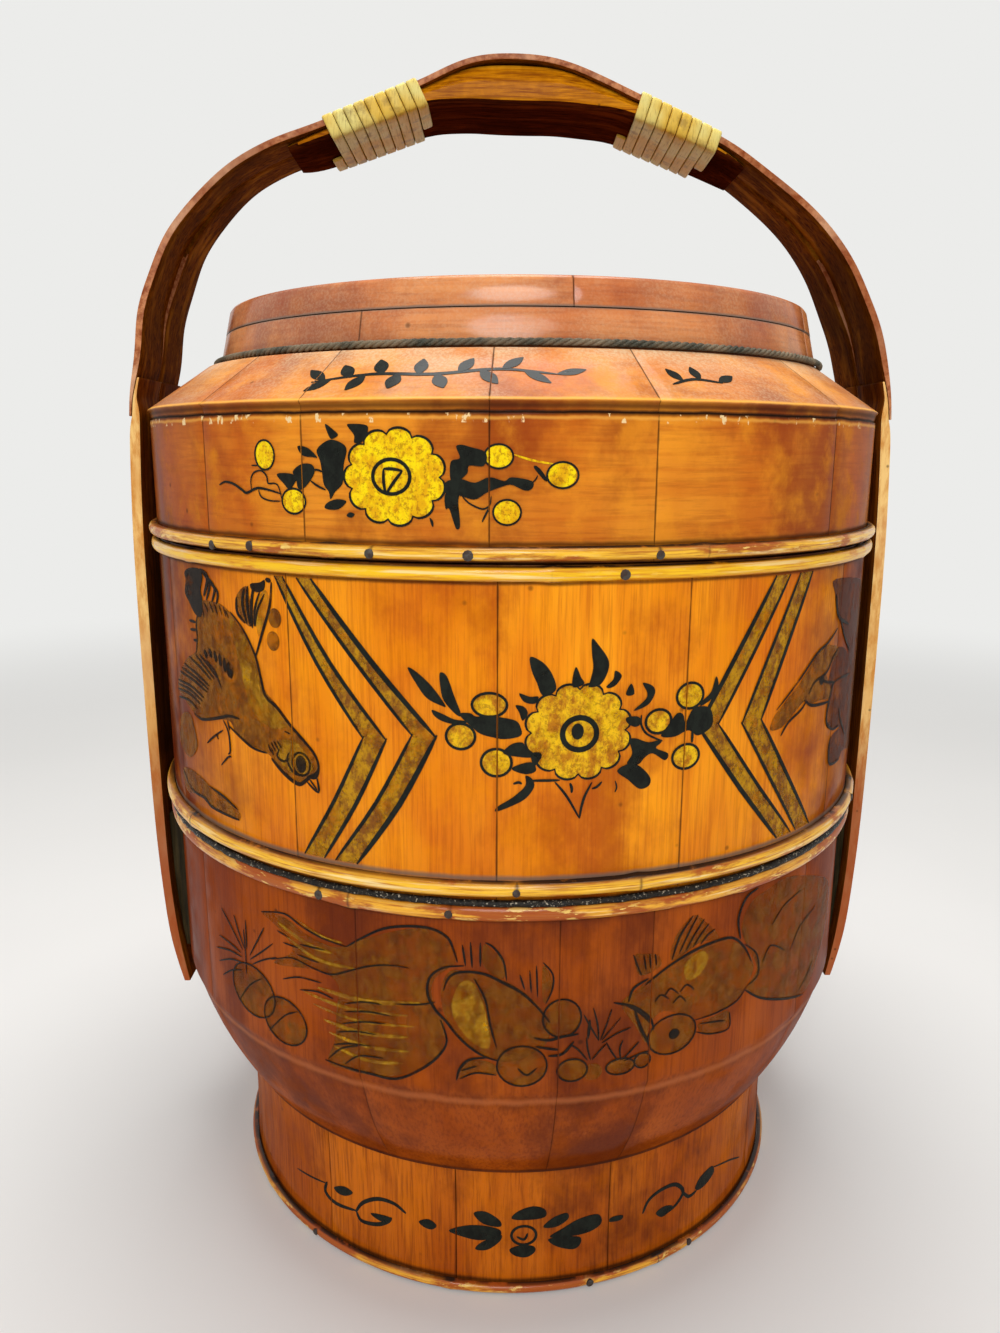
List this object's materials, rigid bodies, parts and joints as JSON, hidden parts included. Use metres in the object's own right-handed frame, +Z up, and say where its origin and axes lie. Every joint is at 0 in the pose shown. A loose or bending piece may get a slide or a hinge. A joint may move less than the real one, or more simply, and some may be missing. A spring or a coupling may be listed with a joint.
{
  "type": "tiered food basket",
  "caption": "Stacked lacquered wooden food basket on a foot: a base tier, a lift-off tier and a collared lid, coopered, bound with split bamboo and carried by a fixed bent-lath handle",
  "frame": {"origin": "Centre of the footprint, on the floor under the foot ring", "axes": "+Z up; the handle arches over the basket in the X-Z plane, from -X to +X; -Y is the front"},
  "size_m": [0.2928, 0.2822, 0.4313],
  "materials": {
    "amber_lacquer": "glossy amber lacquer on vertical-grained wood, middle tier",
    "red_lacquer": "glossy red-brown lacquer on wood, lid and base tier",
    "dark_lacquer": "dark red-brown lacquer on the foot ring",
    "bare_board": "plain boards inside",
    "hoop_bamboo": "golden split bamboo with worn red-brown patches",
    "lath_bamboo": "red-brown bamboo laths with light cut edges",
    "grip_wood": "hand-worn orange-brown wood",
    "rattan": "pale yellow split rattan",
    "cord_fibre": "dark twisted cord",
    "batten_wood": "dark grey-green wood"
  },
  "bodies": {
    "base": {"base_stave_01": "red_lacquer", "base_stave_02": "red_lacquer", "base_stave_03": "red_lacquer", "base_stave_04": "red_lacquer", "base_stave_05": "red_lacquer", "base_stave_06": "red_lacquer", "base_stave_07": "red_lacquer", "base_stave_08": "red_lacquer", "base_stave_09": "red_lacquer", "base_stave_10": "red_lacquer", "base_stave_11": "red_lacquer", "base_stave_12": "red_lacquer", "base_floor": "bare_board", "foot_ring": "dark_lacquer", "base_hoop": "hoop_bamboo", "foot_hoop": "hoop_bamboo", "side_batten_left": "batten_wood", "side_batten_right": "batten_wood", "upright_front_left": "lath_bamboo", "upright_rear_left": "lath_bamboo", "upright_front_right": "lath_bamboo", "upright_rear_right": "lath_bamboo", "bow_lath_front": "lath_bamboo", "bow_lath_rear": "lath_bamboo", "grip_block": "grip_wood", "rattan_wrap_left": "rattan", "rattan_wrap_right": "rattan"},
    "middle_tier": {"middle_stave_01": "amber_lacquer", "middle_stave_02": "amber_lacquer", "middle_stave_03": "amber_lacquer", "middle_stave_04": "amber_lacquer", "middle_stave_05": "amber_lacquer", "middle_stave_06": "amber_lacquer", "middle_stave_07": "amber_lacquer", "middle_stave_08": "amber_lacquer", "middle_stave_09": "amber_lacquer", "middle_stave_10": "amber_lacquer", "middle_stave_11": "amber_lacquer", "middle_stave_12": "amber_lacquer", "middle_floor": "bare_board", "middle_bottom_hoop": "hoop_bamboo", "middle_top_hoop": "hoop_bamboo"},
    "lid": {"lid_stave_01": "red_lacquer", "lid_stave_02": "red_lacquer", "lid_stave_03": "red_lacquer", "lid_stave_04": "red_lacquer", "lid_stave_05": "red_lacquer", "lid_stave_06": "red_lacquer", "lid_stave_07": "red_lacquer", "lid_stave_08": "red_lacquer", "lid_stave_09": "red_lacquer", "lid_stave_10": "red_lacquer", "lid_stave_11": "red_lacquer", "lid_stave_12": "red_lacquer", "lid_hoop": "hoop_bamboo", "lid_panel": "red_lacquer", "collar_lower": "red_lacquer", "collar_upper": "red_lacquer", "collar_cord": "cord_fibre"}
  },
  "joints": [
    {"name": "middle_lift", "type": "slide", "parent": "base", "child": "middle_tier", "axis": [0, 0, 1], "range_m": [0, 0.0055]},
    {"name": "lid_lift", "type": "slide", "parent": "middle_tier", "child": "lid", "axis": [0, 0, 1], "range_m": [0, 0.0055]}
  ]
}
